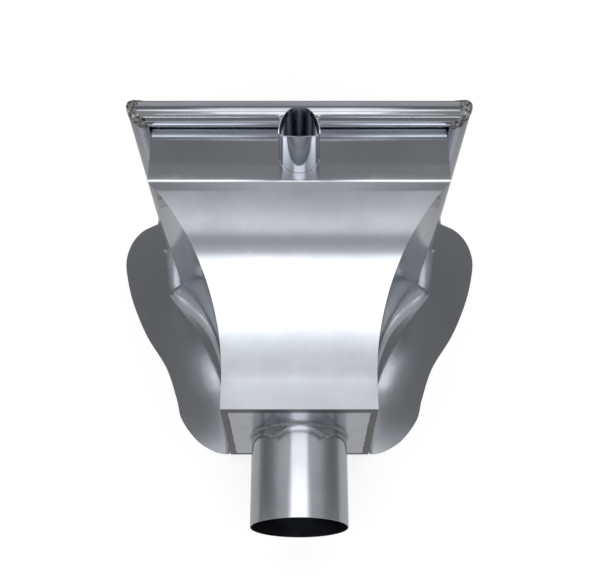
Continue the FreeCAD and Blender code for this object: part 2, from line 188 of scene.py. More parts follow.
def pick(piece, test, kind="VERT"):
    """Select the vertices or faces of the piece in edit mode that pass a test of their middle."""
    bpy.ops.mesh.select_mode(type=kind)
    bpy.ops.mesh.select_all(action="DESELECT")
    mesh = bmesh.from_edit_mesh(piece.data)
    items = mesh.verts if kind == "VERT" else mesh.faces
    for item in items:
        middle = item.co if kind == "VERT" else item.calc_center_median()
        if test(middle):
            item.select_set(True)
    mesh.select_flush_mode()
    bmesh.update_edit_mesh(piece.data)


def modify(piece, kind, **values):
    """Add a modifier with its values and apply it."""
    activate(piece)
    modifier = piece.modifiers.new(kind.title(), kind)
    for name, value in values.items():
        setattr(modifier, name, value)
    bpy.ops.object.modifier_apply(modifier=modifier.name)


def thicken(piece, thickness, even=True):
    """Give a skin its thickness on the side that its faces look away from."""
    modify(piece, "SOLIDIFY", thickness=thickness, offset=-1.0, use_even_offset=even)


def face_along(piece, face, direction):
    """Turn all faces of a piece over if one of them looks away from a direction."""
    if face.normal.dot(direction) < 0:
        piece.data.flip_normals()


def cut_away(piece, tool):
    """Take the tool's volume off the piece and drop the tool."""
    modify(piece, "BOOLEAN", operation="DIFFERENCE", object=tool, solver="EXACT")
    bpy.data.objects.remove(tool, do_unlink=True)


def outward(piece):
    """Make a closed piece's faces point outwards."""
    activate(piece)
    start_edit()
    bpy.ops.mesh.remove_doubles(threshold=1e-6)
    end_edit()


def finish_piece(piece, name, material, slot, *nodes, angle=35.0):
    """Name, shade, ride and finish a piece that stands for CAD nodes."""
    activate(piece)
    piece.name = name
    piece.data.name = name
    bpy.ops.object.shade_smooth_by_angle(angle=math.radians(angle))
    piece.data.materials.clear()
    piece.data.materials.append(material)
    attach(piece, BODY)
    if nodes:
        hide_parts(*nodes)
    return piece


def prism(plan, low, high):
    """Closed upright prism over a plan of x, y points, extruded from a primitive's face."""
    tool = add(bpy.ops.mesh.primitive_circle_add, vertices=len(plan), fill_type="NGON")
    for vertex, (x, y) in zip(tool.data.vertices, plan):
        vertex.co = (x, y, low)
    start_edit()
    extrude((0, 0, high - low))
    bpy.ops.object.mode_set(mode="OBJECT")
    outward(tool)
    return tool


# Formed sheets


# Steps up the flare, round the pressed fold and round the rolled bead
FLARE_STEPS = 44
FOLD_STEPS = 4
ROLL_STEPS = 44

# Straight run kept on both sides of the fold, in metres
FOLD_STAY = 0.0006

# Share of the sides' draw in that is lost between the fold and the bead
RIM_LEAN = 0.62

# Sides of the round hole behind the spout
HOLE_SIDES = 96


def flare_points(foot, wall, inset):
    """Points u, z of the flare's ellipse, moved to the basin side by inset."""
    body = settings()[0]
    rise = (body.fold_height - body.foot_height) / math.sin(body.flare_turn)
    axis = (wall - foot) / (1.0 - math.cos(body.flare_turn))
    wide = axis + inset
    tall = rise + inset
    last = math.acos((foot + axis - wall + inset) / wide)
    points = []
    for step in range(1, FLARE_STEPS + 1):
        angle = last * step / FLARE_STEPS
        points.append((foot + axis - wide * math.cos(angle), body.foot_height + tall * math.sin(angle)))
    return points


def sheet_profile(foot, wall, squash):
    """Basin side of a panel from the top of its straight foot to the free edge of its bead."""
    body = settings()[0]
    flare = flare_points(foot, wall, body.gauge)
    fold_u, fold_z = flare[-1]
    before_u, before_z = flare[-3]
    run = math.hypot(fold_u - before_u, fold_z - before_z)
    back = body.fold_round
    slope_u, slope_z = (fold_u - before_u) / run, (fold_z - before_z) / run
    lead = (fold_u - slope_u * back, fold_z - slope_z * back)
    below = (lead[0] - slope_u * FOLD_STAY, lead[1] - slope_z * FOLD_STAY)
    above = (fold_u, fold_z + back + FOLD_STAY)
    away = (fold_u, fold_z + back)
    fold = []
    for step in range(FOLD_STEPS + 1):
        share = step / FOLD_STEPS
        one, two, three = (1 - share) ** 2, 2 * share * (1 - share), share ** 2
        fold.append(tuple(
            one * start + two * middle + three * end for start, middle, end in zip(lead, flare[-1], away)
        ))
    wide = body.bead_radius * squash
    middle_u = wall - body.gauge + wide
    free_edge = math.acos((wide - body.gauge - body.bead_gap) / wide) - math.pi
    roll = []
    for step in range(ROLL_STEPS + 1):
        angle = math.pi + (free_edge - math.pi) * step / ROLL_STEPS
        u = middle_u + wide * math.cos(angle)
        roll.append((u, body.bead_height + body.bead_radius * math.sin(angle)))
    return flare[:-2] + [below] + fold + [above] + roll


def sheet_panel(profile, foot, outward_axis, length_axis, start, end):
    """Sheet extruded edge by edge up a profile, then given its gauge on the outer side."""
    body = settings()[0]
    first_u = foot - body.gauge
    panel = add(bpy.ops.mesh.primitive_plane_add, size=1.0)
    low = outward_axis * first_u
    corners = [low + length_axis * start, low + length_axis * end]
    upper = [corner + Vector((0, 0, body.foot_height)) for corner in corners]
    for vertex, place in zip(panel.data.vertices, corners + upper):
        vertex.co = place
    start_edit()
    pick(panel, lambda middle: middle.z > body.foot_height * 0.5)
    here = (first_u, body.foot_height)
    for u, z in profile:
        extrude(outward_axis * (u - here[0]) + Vector((0, 0, z - here[1])))
        here = (u, z)
    end_edit()
    face_along(panel, panel.data.polygons[0], -outward_axis)
    thicken(panel, body.gauge)
    return panel


def mitre_span():
    """Depths between which the mitres are cut, from behind the foot's front to beyond the bead."""
    body = settings()[0]
    return body.foot_depth - body.bead_radius, body.rim_depth + 4 * body.bead_radius


def mitre_plans(sign):
    """Plans of what lies outside the mitre planes on one side, each with the heights it is cut between."""
    body = settings()[0]
    near, far = mitre_span()
    wide = body.rim_half * 2
    flare_rate = (body.rim_half - body.foot_half) / (body.rim_depth - body.foot_depth)
    plans = []
    for rate, inset, low, high in (
        (flare_rate, 0.0, -body.foot_height, body.fold_height),
        (body.bead_squash, body.gauge, body.fold_height, body.bead_height * 2),
    ):
        far_half = body.rim_half - inset + (far - body.rim_depth + inset) * rate
        near_half = body.rim_half - inset - (body.rim_depth - inset - near) * rate
        plan = [(near_half, -near), (far_half, -far), (wide, -far), (wide, -near)]
        plans.append(([(sign * x, y) for x, y in plan], low, high))
    return plans


class HOPPER_OT_front_panel(bpy.types.Operator):
    """Form the front panel with its flare, fold, rim box wall and rolled bead"""

    bl_idname = "hopper.front_panel"
    bl_label = "Front panel"

    def execute(self, context):
        body, _, pipe, _, _ = settings()
        reach = body.rim_half + 3 * body.bead_radius
        profile = sheet_profile(body.foot_depth, body.rim_depth, 1.0)
        panel = sheet_panel(profile, body.foot_depth, Vector((0, -1, 0)), Vector((1, 0, 0)), -reach, reach)
        for sign, _ in HANDS:
            for plan, low, high in mitre_plans(sign):
                cut_away(panel, prism(plan, low, high))
        cutter = add(
            bpy.ops.mesh.primitive_cylinder_add, (0, -body.rim_depth, pipe.spout_height),
            rotation=(math.pi / 2, 0, 0), vertices=HOLE_SIDES, radius=pipe.spout_radius,
            depth=20 * body.gauge,
        )
        cut_away(panel, cutter)
        finish_piece(panel, "front_sheet", zinc_material("zinc_front", "ALONG"), SHEET_SLOT, "front_panel")
        return {"FINISHED"}


def drawn_in(y, z):
    """How far the side panel stands inside its straight plan at a depth and a height."""
    body = settings()[0]
    depth_share = min(1.0, max(0.0, 1.0 + y / body.rim_depth))
    if z >= body.fold_height:
        lean = min(1.0, (z - body.fold_height) / (body.bead_height - body.bead_radius - body.fold_height))
        return body.draw_in * depth_share * (1.0 - RIM_LEAN * lean)
    flare_share = (side_at(z) - body.foot_half) / (body.rim_half - body.foot_half)
    return body.draw_in * depth_share * flare_share ** 2


class HOPPER_OT_side_panels(bpy.types.Operator):
    """Form the two side panels and mitre them to the front panel"""

    bl_idname = "hopper.side_panels"
    bl_label = "Side panels"

    def execute(self, context):
        body = settings()[0]
        profile = sheet_profile(body.foot_half, body.rim_half, body.bead_squash)
        near, far = mitre_span()
        reach = body.rim_depth + 3 * body.bead_radius
        material = zinc_material("zinc_side", "ALONG")
        for sign, side in HANDS:
            panel = sheet_panel(
                profile, body.foot_half, Vector((sign, 0, 0)), Vector((0, -1, 0)), body.gauge, reach
            )
            for plan, low, high in mitre_plans(1):
                near_half, far_half = plan[0][0], plan[1][0]
                wedge = [(near_half, -near), (far_half, -far), (-far_half, -far), (-near_half, -near)]
                cut_away(panel, prism(wedge, low, high))
            for vertex in panel.data.vertices:
                vertex.co.x -= sign * drawn_in(vertex.co.y, vertex.co.z)
            finish_piece(panel, side + "_side_sheet", material, SHEET_SLOT, side + "_side_panel")
        return {"FINISHED"}


# Wings


# The wing's outer edge from its top down to its foot: half width and height in metres
WING_EDGE = [
    (0.1760, 0.2935), (0.1940, 0.2830), (0.2060, 0.2660), (0.2112, 0.2430), (0.2080, 0.2180),
    (0.1980, 0.1835), (0.1795, 0.1425), (0.1540, 0.1020), (0.1400, 0.0640), (0.1330, 0.0400),
    (0.1150, 0.0160), (0.0960, 0.0035), (0.0840, 0.0),
]

# Least flat left between the cove and the outer edge, in metres
LEAST_FLAT = 0.0005

# Steps along each span of the outer edge, round the cove and out over the flat
EDGE_STEPS = 14
ARC_STEPS = 14
FLAT_STEPS = 10

# The cove: height, half width where it meets the flat wing, reach forward, share of flat slope in its section
COVE = [
    (0.000, 0.0815, 0.0050, 0.00),
    (0.030, 0.0825, 0.0050, 0.00),
    (0.060, 0.0860, 0.0050, 0.00),
    (0.090, 0.0940, 0.0052, 0.00),
    (0.118, 0.1085, 0.0056, 0.03),
    (0.146, 0.1250, 0.0074, 0.10),
    (0.166, 0.1362, 0.0118, 0.22),
    (0.176, 0.1420, 0.0155, 0.34),
    (0.186, 0.1480, 0.0190, 0.50),
    (0.201, 0.1550, 0.0215, 0.70),
    (0.223, 0.1596, 0.0220, 0.80),
    (0.257, 0.1647, 0.0220, 0.80),
]

# Columns of the cove's table
HALF_WIDTH, REACH, FLAT_SHARE = 1, 2, 3


def side_at(z):
    """Outer half width of the side panel at a height."""
    body = settings()[0]
    if z <= body.foot_height:
        return body.foot_half
    if z >= body.fold_height:
        return body.rim_half
    rise = (body.fold_height - body.foot_height) / math.sin(body.flare_turn)
    axis = (body.rim_half - body.foot_half) / (1.0 - math.cos(body.flare_turn))
    sine = (z - body.foot_height) / rise
    return body.foot_half + axis * (1.0 - math.sqrt(1.0 - sine ** 2))


def cove_at(z, column):
    """Value of one column of the cove's table at a height, on a smooth curve through its rows."""
    last = len(COVE) - 2
    index = min(last, sum(1 for row in COVE[1:] if row[0] <= z))
    low, high = COVE[index], COVE[index + 1]
    run = high[0] - low[0]
    t = min(1.0, (z - low[0]) / run)
    slopes = []
    for place in (index, index + 1):
        before, after = COVE[max(0, place - 1)], COVE[min(len(COVE) - 1, place + 1)]
        slopes.append((after[column] - before[column]) / (after[0] - before[0]) * run)
    value = (1 + 2 * t) * (1 - t) ** 2 * low[column] + t * t * (3 - 2 * t) * high[column]
    return value + t * (1 - t) ** 2 * slopes[0] - t * t * (1 - t) * slopes[1]


def wing_edge_curve():
    """The wing's outer edge as a smooth chain of x, z points from the foot to the top."""
    points = [Vector((x, z)) for x, z in reversed(WING_EDGE)]
    ends = [points[0] * 2 - points[1]] + points + [points[-1] * 2 - points[-2]]
    chain = []
    for index in range(1, len(ends) - 2):
        a, b, c, d = ends[index - 1: index + 3]
        for step in range(EDGE_STEPS):
            t = step / EDGE_STEPS
            square = (2 * a - 5 * b + 4 * c - d) * t ** 2
            cube = (3 * b - a - 3 * c + d) * t ** 3
            chain.append(0.5 * (2 * b + (c - a) * t + square + cube))
    chain.append(points[-1])
    return chain


def wing_rows(sign):
    """Rows of points of the wing's outer face: lap, cove and flat out to the edge."""
    body, wing = settings()[:2]
    rows = []
    for x_edge, z in wing_edge_curve():
        side = side_at(z)
        turn = min(cove_at(min(z, wing.cove_top), HALF_WIDTH), x_edge - LEAST_FLAT)
        row = []
        if z <= wing.cove_top:
            reach = cove_at(z, REACH)
            slope = cove_at(z, FLAT_SHARE)
            lap = reach + body.gauge + wing.cove_lap
            for deep in (lap, lap - wing.cove_lap / 2):
                row.append((side + body.gauge - drawn_in(-deep, z), -deep))
            wide = turn - side - body.gauge + drawn_in(-reach, z)
            for step in range(ARC_STEPS + 1):
                share = step / ARC_STEPS
                across = (1 - slope) * math.cos(math.pi / 2 * share) + slope * (1 - share)
                back = (1 - slope) * math.sin(math.pi / 2 * share) + slope * share
                row.append((turn - wide * across, -reach - body.gauge + reach * back))
        else:
            columns = ARC_STEPS + 2
            for step in range(columns + 1):
                row.append((side + (turn - side) * step / columns, -body.gauge))
        for step in range(1, FLAT_STEPS + 1):
            row.append((turn + (x_edge - turn) * step / FLAT_STEPS, -body.gauge))
        rows.append([Vector((sign * x, y, z)) for x, y in row])
    return rows


def grid_piece(rows):
    """Grid primitive whose rows are laid on the given rows of points."""
    columns, steps = len(rows[0]) - 1, len(rows) - 1
    piece = add(bpy.ops.mesh.primitive_grid_add, x_subdivisions=columns, y_subdivisions=steps, size=1.0)
    places = [place for row in rows for place in row]
    for vertex, place in zip(piece.data.vertices, places):
        vertex.co = place
    return piece


class HOPPER_OT_wings(bpy.types.Operator):
    """Press the two wings with their coves"""

    bl_idname = "hopper.wings"
    bl_label = "Wings"

    def execute(self, context):
        body = settings()[0]
        material = zinc_material("zinc_wing", "MATT")
        for sign, side in HANDS:
            wing = grid_piece(wing_rows(sign))
            facing = sum(polygon.normal.y * polygon.area for polygon in wing.data.polygons)
            if facing > 0:
                wing.data.flip_normals()
            thicken(wing, body.gauge)
            finish_piece(wing, side + "_wing_sheet", material, SHEET_SLOT, side + "_wing")
        return {"FINISHED"}


# Pipes


# Sides of the two round tubes
SPIGOT_SIDES = 144
SPOUT_SIDES = 128

# Steps round the bend from the spigot's wall into its flange
BEND_STEPS = 8

# How far the spout is rolled beyond its lower lip before its beak is cut, in metres
SPOUT_SPARE = 0.01


def spigot_wall():
    """Radius and height along the spigot's outer face, from its end up into the flange."""
    body, _, pipe, _, _ = settings()
    bend = pipe.flange_bend - body.gauge
    turn = pipe.outlet_radius + bend
    points = [(pipe.outlet_radius, -pipe.outlet_length), (pipe.outlet_radius, -pipe.flange_bend)]
    for step in range(1, BEND_STEPS + 1):
        angle = math.pi / 2 * step / BEND_STEPS
        points.append((turn - bend * math.cos(angle), -pipe.flange_bend + bend * math.sin(angle)))
    points.append((pipe.outlet_radius + pipe.flange_reach, -body.gauge))
    return points


class HOPPER_OT_spigot(bpy.types.Operator):
    """Roll the outlet spigot and turn its upper end out to a flange"""

    bl_idname = "hopper.spigot"
    bl_label = "Outlet spigot"

    def execute(self, context):
        body, _, pipe, _, _ = settings()
        axis = Vector((0, -pipe.outlet_from_wall, 0))
        points = spigot_wall()
        radius, end = points[0]
        tube = add(
            bpy.ops.mesh.primitive_circle_add, axis + Vector((0, 0, end)),
            vertices=SPIGOT_SIDES, radius=radius, fill_type="NOTHING",
        )
        settle(tube)
        start_edit()
        for (wide, low), (next_wide, high) in zip(points, points[1:]):
            extrude((0, 0, high - low))
            share = next_wide / wide
            if abs(share - 1.0) > 1e-6:
                centre = axis + Vector((0, 0, high))
                bpy.ops.transform.resize(value=(share, share, 1.0), center_override=centre)
        end_edit()
        first = tube.data.polygons[0]
        face_along(tube, first, first.center - axis)
        thicken(tube, body.gauge)
        finish_piece(tube, "spigot_tube", zinc_material("zinc_pipe", "PIPE"), SHEET_SLOT, "outlet_spigot")
        return {"FINISHED"}


class HOPPER_OT_spout(bpy.types.Operator):
    """Roll the overflow spout and cut its beak"""

    bl_idname = "hopper.spout"
    bl_label = "Overflow spout"

    def execute(self, context):
        body, _, pipe, _, _ = settings()
        height = pipe.spout_lower_lip + body.gauge + SPOUT_SPARE
        root = -body.rim_depth + body.gauge
        tube = add(
            bpy.ops.mesh.primitive_cylinder_add, (0, root - height / 2, pipe.spout_height),
            rotation=(math.pi / 2, 0, 0), vertices=SPOUT_SIDES, radius=pipe.spout_radius, depth=height,
            end_fill_type="NOTHING",
        )
        settle(tube)
        cheek = Vector((0, -body.rim_depth - pipe.spout_cheek, pipe.spout_height))
        start_edit()
        for lip, rise in ((pipe.spout_upper_lip, 1), (pipe.spout_lower_lip, -1)):
            edge = Vector((0, -(lip - pipe.spout_cheek), rise * pipe.spout_radius))
            normal = Vector((0, -edge.z, edge.y)) * rise
            pick(tube, lambda middle: (middle.z - pipe.spout_height) * rise > -1e-5, "FACE")
            bpy.ops.mesh.bisect(plane_co=cheek, plane_no=normal, clear_outer=True)
        bpy.ops.object.mode_set(mode="OBJECT")
        outer = tube.data.polygons[0]
        face_along(tube, outer, outer.center - Vector((0, outer.center.y, pipe.spout_height)))
        thicken(tube, body.gauge, even=False)
        finish_piece(tube, "spout_tube", zinc_material("zinc_pipe", "PIPE"), SHEET_SLOT, "overflow_spout")
        return {"FINISHED"}


# Solder


# Seeds of the spigot ring, the spout ring, the bottom plate's seam, the patches and the coves' runs
DROP_SEED, RING_SEED = 63, 11
FILLET_SEED, FILLET_RISE_SEED = 12, 13
SEAM_SEED = 5
LUMP_SEED, FRONT_SEED, SIDE_SEED = 21, 31, 41
RUN_SEED = 51

# Tones that make up a wobble, and what brings their sum to about 1
WAVE_TONES = 5
WAVE_SIZE = 2.2

# Steps round the spout's ring and the spigot's ring
SPOUT_RING_STEPS = 180
SPIGOT_RING_STEPS = 240

# Section of the spout's fillet: shares of its reach away from the pipe and of its height along the pipe
FILLET = ((0.0, 0.0), (1.0, 0.0), (0.72, 0.22), (0.42, 0.42), (0.20, 0.68), (0.02, 1.0), (0.0, 0.98))

# The spout's fillet as a share of the rings' reach
SPOUT_RING_SHARE = 0.65

# Solder over the spigot's flange, in metres: its thickness, also at its lower edge, its least run past the
# bend, and the stray of its lower edge
SKIN = 0.00022
THIN_EDGE = 0.00002
LEAST_RUN = 0.0003
DROP_STRAY = 0.0004

# How far out from the wall it hangs under the bend, and how far below the bend it lies on the wall, in metres
HANGING = 0.0005
UNDER_BEND = 0.0001

# Steps along each side of the bottom plate's seam, its height in metres and the stray of its inner edge
SEAM_STEPS = 48
SEAM_HEIGHT = 0.0005
SEAM_STRAY = 0.0012

# The bottom plate's seam at the wall and at the front, as shares of its width
SEAM_BACK = 0.6
SEAM_FRONT = 1.6

# The patch over a mitre: degrees round the bead from and to, steps round it and across it
PATCH_FROM = -125
PATCH_TO = 150
PATCH_STEPS = 60
PATCH_COLUMNS = 24

# Lumps of the patch, round the bead and across the mitre
LUMPS_ROUND = 24
LUMPS_ACROSS = 6

# The patch in metres: clear of the bead, height of its lumps, what its top and bottom add, and its thickness
PATCH_LIFT = 0.00003
PATCH_HEIGHT = 0.00055
PATCH_MORE = 0.0007
PATCH_SKIN = 0.00025

# The patch's reach along the front bead as a share of its reach along the side beads
PATCH_FRONT = 1.6

# Steps up the run of solder along a cove, its reach in metres, and its section as shares of gauge and reach
RUN_STEPS = 70
RUN_REACH = 0.0012
RUN = ((0.0, 0.0), (1.05, 0.0), (0.5, 0.45), (0.0, 1.0), (0.0, 0.0))


def wave(angle, seed):
    """Smooth closed wobble between about -1 and 1, the same each run."""
    chance = random.Random(seed)
    total = 0.0
    for tone in range(1, WAVE_TONES + 1):
        phase = chance.uniform(0, 2 * math.pi)
        strength = chance.uniform(0.4, 1.0)
        total += math.sin(angle * tone * 2 + phase) * strength / tone ** 0.6
    return total / WAVE_SIZE


def between(grid, row, column):
    """Smooth value between the four nearest values of a grid."""
    low, left = int(row), int(column)
    up, over = row - low, column - left
    up, over = up * up * (3 - 2 * up), over * over * (3 - 2 * over)
    near = grid[low][left] * (1 - over) + grid[low][left + 1] * over
    far = grid[low + 1][left] * (1 - over) + grid[low + 1][left + 1] * over
    return near * (1 - up) + far * up


def wrapped(section, around):
    """Closed ring from a section of radius and height that may change with the angle."""
    rows = []
    for place in range(around + 1):
        angle = 2 * math.pi * (place % around) / around
        row = [Vector((u * math.cos(angle), u * math.sin(angle), v)) for u, v in section(angle)]
        rows.append(row + [row[0]])
    piece = grid_piece(rows)
    outward(piece)
    return piece


def fillet_section(angle):
    """Section of the fillet of solder round the spout, below the plane z = 0."""
    pipe = settings()[2]
    reach = pipe.ring_reach * SPOUT_RING_SHARE
    wide = reach * (1.0 + 0.45 * wave(angle, FILLET_SEED))
    tall = reach * (0.9 + 0.5 * wave(angle, FILLET_RISE_SEED))
    return [(pipe.spout_radius + u * wide, -v * tall) for u, v in FILLET]


# Lower edge of the tinned band on the spigot: turn from the front in degrees, millimetres below the plate
TINNED_EDGE = [
    (-180, 5.0), (-120, 4.0), (-90, 4.5), (-60, 5.0), (-45, 6.5), (-33, 11.5), (-22, 8.0), (-10, 4.0),
    (0, 2.8), (12, 3.8), (24, 7.5), (33, 12.0), (42, 8.0), (56, 5.0), (80, 5.5), (115, 4.0), (180, 5.0),
]


def tinned_drop(degrees):
    """How far the solder runs down the spigot, in metres, at a turn from the front."""
    for (low, one), (high, two) in zip(TINNED_EDGE, TINNED_EDGE[1:]):
        if degrees <= high:
            share = (degrees - low) / (high - low)
            share = share * share * (3 - 2 * share)
            return (one + (two - one) * share) / 1000
    return TINNED_EDGE[-1][1] / 1000


def flange_section(angle):
    """Section of the solder over the spigot's flange, its bend and the top of its wall."""
    body, _, pipe, _, _ = settings()
    tube = pipe.outlet_radius
    edge = tube + pipe.flange_reach
    top, *bend, _ = spigot_wall()[1:]
    degrees = (math.degrees(angle) + 90 + 180) % 360 - 180
    drop = max(tinned_drop(degrees) + DROP_STRAY * wave(angle, DROP_SEED), pipe.flange_bend + LEAST_RUN)
    reach = pipe.ring_reach * (1.05 + 0.55 * wave(angle, RING_SEED))
    face = [(edge + reach, 0.0), (edge + reach * 0.55, -body.gauge * 0.45), (edge, -body.gauge - SKIN)]
    for u, v in reversed(bend):
        if u - tube > HANGING:
            face.append((u, v - SKIN * 0.8))
        else:
            face.append((u + SKIN * 0.7, v - SKIN * 0.5))
    lowest = top[1] - UNDER_BEND
    for step in range(5):
        share = step / 4
        face.append((tube + SKIN * (1.0 - 0.35 * share), lowest + (-drop - lowest) * share))
    face.append((tube + THIN_EDGE, -drop - SKIN))
    return face + [(tube, -drop), top] + bend + [(edge, -body.gauge), (edge, 0.0)]


class HOPPER_OT_solder(bpy.types.Operator):
    """Run the solder round the pipes, the bottom plate, the wings and the bead's mitres"""

    bl_idname = "hopper.solder"
    bl_label = "Solder"

    def execute(self, context):
        body, wing, pipe, finish, _ = settings()
        soft = solder_material("soft_solder", finish.solder)
        lumpy = solder_material("lumpy_solder", finish.lumps)
        tin = solder_material("tinned_band", finish.tin)
        spigot_ring = wrapped(flange_section, SPIGOT_RING_STEPS)
        spigot_ring.location = (0, -pipe.outlet_from_wall, 0)
        settle(spigot_ring)
        finish_piece(spigot_ring, "spigot_ring", tin, SOLDER_SLOT, "spigot_solder", angle=60)
        spout_ring = wrapped(fillet_section, SPOUT_RING_STEPS)
        spout_ring.rotation_euler = (-math.pi / 2, 0, 0)
        spout_ring.location = (0, -body.rim_depth, pipe.spout_height)
        settle(spout_ring)
        finish_piece(spout_ring, "spout_ring", tin, SOLDER_SLOT, "spout_solder", angle=60)
        self.floor_seam(body, pipe, soft)
        for sign, side in HANDS:
            self.mitre_patch(body, pipe, lumpy, sign, side)
            self.wing_seam(body, wing, tin, sign, side)
        return {"FINISHED"}

    def floor_seam(self, body, pipe, material):
        """Flat run of solder round the bottom plate with a wandering inner edge."""
        chance = random.Random(SEAM_SEED)
        half, deep = body.foot_half, body.foot_depth
        width = pipe.seam_width
        back, front = width * SEAM_BACK, width * SEAM_FRONT
        plan = ((-half, 0), (half, 0), (half, -deep), (-half, -deep))
        moves = ((width, -back), (-width, -back), (-width, front), (width, front))
        outside = [Vector((x, y, 0)) for x, y in plan]
        inside = [corner + Vector((x, y, 0)) for corner, (x, y) in zip(outside, moves)]
        rows = []
        for index in range(len(outside)):
            after = (index + 1) % len(outside)
            across = Vector((0, 0, 1)).cross(outside[after] - outside[index]).normalized()
            for step in range(SEAM_STEPS):
                share = step / SEAM_STEPS
                outer = outside[index].lerp(outside[after], share)
                inner = inside[index].lerp(inside[after], share)
                if step > 0:
                    inner = inner + across * (chance.uniform(-0.5, 0.5) * SEAM_STRAY)
                drop = Vector((0, 0, -SEAM_HEIGHT * chance.uniform(0.7, 1.0)))
                rows.append([
                    outer, outer + drop * 0.6, outer.lerp(inner, 0.25) + drop, outer.lerp(inner, 0.75) + drop,
                    inner + drop * 0.1, inner, outer,
                ])
        rows.append(rows[0])
        seam = grid_piece(rows)
        outward(seam)
        finish_piece(seam, "floor_seam", material, SOLDER_SLOT, "floor_solder", angle=50)

    def mitre_patch(self, body, pipe, material, sign, side):
        """Rough skin of solder over one mitre of the bead."""
        chance = random.Random(LUMP_SEED + sign)
        first, last = math.radians(PATCH_FROM), math.radians(PATCH_TO)
        lumps = [[chance.random() for across in range(LUMPS_ACROSS + 2)] for along in range(LUMPS_ROUND + 2)]
        rows = []
        for place in range(PATCH_STEPS + 1):
            angle = first + (last - first) * place / PATCH_STEPS
            round_place = place / PATCH_STEPS * LUMPS_ROUND
            end = min(1.0, 4.0 * min(place, PATCH_STEPS - place) / PATCH_STEPS)
            taper = 0.55 + 0.45 * end
            front_stray = 0.8 + 0.3 * wave(angle, FRONT_SEED + sign)
            side_stray = 0.8 + 0.3 * wave(angle, SIDE_SEED + sign)
            front_reach = pipe.patch_reach * PATCH_FRONT * front_stray * taper
            side_reach = pipe.patch_reach * side_stray * taper
            room = PATCH_HEIGHT + PATCH_MORE * abs(math.sin(angle))
            row = []
            for column in range(PATCH_COLUMNS + 1):
                share = column / PATCH_COLUMNS * 2.0 - 1.0
                dome = (1.0 - share ** 4) * end
                lump = between(lumps, round_place, column / PATCH_COLUMNS * LUMPS_ACROSS)
                rough = 0.12 + 0.78 * lump + 0.10 * chance.random()
                radius = body.bead_radius + PATCH_LIFT + room * dome * rough
                out = body.bead_radius + radius * math.cos(angle)
                x = body.rim_half - body.gauge + out * body.bead_squash + min(0.0, share) * front_reach
                y = body.gauge - body.rim_depth - out + max(0.0, share) * side_reach
                row.append(Vector((sign * x, y, body.bead_height + radius * math.sin(angle))))
            rows.append(row)
        patch = grid_piece(rows)
        facing = patch.data.polygons[len(patch.data.polygons) // 2]
        bead = Vector((
            sign * (body.rim_half + body.bead_radius), -body.rim_depth - body.bead_radius, body.bead_height,
        ))
        face_along(patch, facing, facing.center - bead)
        thicken(patch, PATCH_SKIN, even=False)
        finish_piece(patch, side + "_corner_patch", material, SOLDER_SLOT, side + "_corner_solder", angle=60)

    def wing_seam(self, body, wing, material, sign, side):
        """Thin run of solder along the front edge of one cove."""
        chance = random.Random(RUN_SEED + sign)
        rows = []
        for step in range(RUN_STEPS + 1):
            z = wing.cove_top * step / RUN_STEPS
            edge = -(cove_at(z, REACH) + body.gauge + wing.cove_lap)
            flank = side_at(z) - drawn_in(edge, z)
            reach = RUN_REACH * (0.7 + 0.6 * chance.random())
            row = [(flank + body.gauge * wide, edge - reach * deep) for wide, deep in RUN]
            rows.append([Vector((sign * x, y, z)) for x, y in row])
        seam = grid_piece(rows)
        outward(seam)
        finish_piece(seam, side + "_wing_run", material, SOLDER_SLOT, side + "_wing_solder", angle=60)


# Finishes


def fill(item, values):
    """Set a node's inputs, which have capital letters, and its own settings, which haven't."""
    for name, value in values.items():
        if name[0].isupper():
            item.inputs[name.replace("_", " ")].default_value = value
        else:
            setattr(item, name, value)


def node(tree, kind, place, **values):
    """Add a shader node with its values."""
    item = tree.nodes.new(kind)
    item.location = place
    fill(item, values)
    return item


def join(tree, *wires):
    """Join sockets: each wire gives a node and its output, then a node and its input."""
    for source, output, target, slot in wires:
        tree.links.new(source.outputs[output], target.inputs[slot])


def reckon(tree, place, operation, *values):
    """Add a math node on sockets and plain numbers, and return the socket of its result."""
    item = node(tree, "ShaderNodeMath", place, operation=operation)
    for slot, value in zip(item.inputs, values):
        if isinstance(value, float):
            slot.default_value = value
        else:
            tree.links.new(value, slot)
    return item.outputs["Value"]


def principled(name, **values):
    """New material, its tree and its Principled shader with values."""
    material = bpy.data.materials.new(name)
    material.use_nodes = True
    shader = material.node_tree.nodes["Principled BSDF"]
    fill(shader, values)
    return material, material.node_tree, shader


def mask_group(name, *outputs):
    """New node group that reads a place and gives values, with its first and last node."""
    group = bpy.data.node_groups.new(name, "ShaderNodeTree")
    group.interface.new_socket("Place", in_out="INPUT", socket_type="NodeSocketVector")
    for output in outputs:
        group.interface.new_socket(output, in_out="OUTPUT", socket_type="NodeSocketFloat")
    return group, node(group, "NodeGroupInput", (-600, 0)), node(group, "NodeGroupOutput", (400, 0))


def handled_group():
    """Clouds and smudges that handling leaves on bright sheet, as masks."""
    if "handled_clouds" in bpy.data.node_groups:
        return bpy.data.node_groups["handled_clouds"]
    group, enter, leave = mask_group("handled_clouds", "Clouds", "Spots")
    cloud = node(group, "ShaderNodeTexNoise", (-300, 120), Scale=14.0, Detail=5.0, Roughness=0.62)
    spot = node(group, "ShaderNodeTexNoise", (-300, -160), Scale=85.0, Detail=3.0, Roughness=0.7)
    narrow = node(group, "ShaderNodeMapRange", (0, -160), From_Min=0.55, From_Max=0.75)
    join(
        group,
        (enter, "Place", cloud, "Vector"),
        (enter, "Place", spot, "Vector"),
        (cloud, "Fac", leave, "Clouds"),
        (spot, "Fac", narrow, "Value"),
        (narrow, "Result", leave, "Spots"),
    )
    return group


